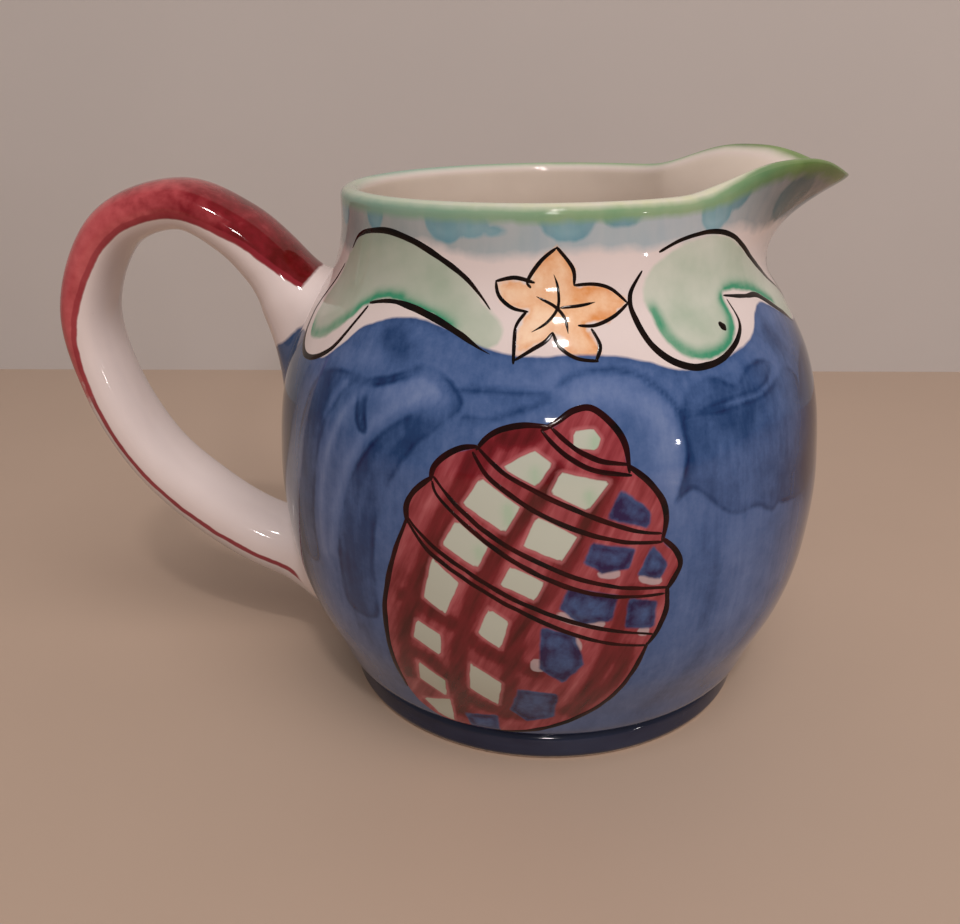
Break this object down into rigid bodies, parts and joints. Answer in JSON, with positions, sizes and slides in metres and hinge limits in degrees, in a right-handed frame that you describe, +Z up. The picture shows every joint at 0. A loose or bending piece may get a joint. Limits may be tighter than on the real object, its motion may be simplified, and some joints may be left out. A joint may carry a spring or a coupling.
{
  "type": "ceramic pitcher",
  "caption": "Wide-bellied glazed ceramic pitcher with a beak spout, a looped strap handle and a low foot, for pouring drinks.",
  "frame": {"origin": "on the body's vertical axis, in the plane that the foot's standing ring rests on", "axes": "+Z up, +X towards the spout, -X towards the handle, -Y towards the painted front"},
  "size_m": [0.2131, 0.15, 0.1474],
  "materials": {
    "body_glaze": "gloss",
    "rim_glaze": "gloss",
    "foot_glaze": "gloss",
    "handle_glaze": "gloss",
    "joint_glaze": "gloss",
    "ink_paint": "gloss",
    "shell_paint": "gloss",
    "star_paint": "gloss",
    "wave_paint": "gloss"
  },
  "bodies": {
    "root": {"body": "body_glaze", "spout": "rim_glaze", "foot": "foot_glaze", "handle": "handle_glaze", "handle_upper_joint": "joint_glaze", "handle_lower_joint": "joint_glaze"}
  },
  "joints": []
}
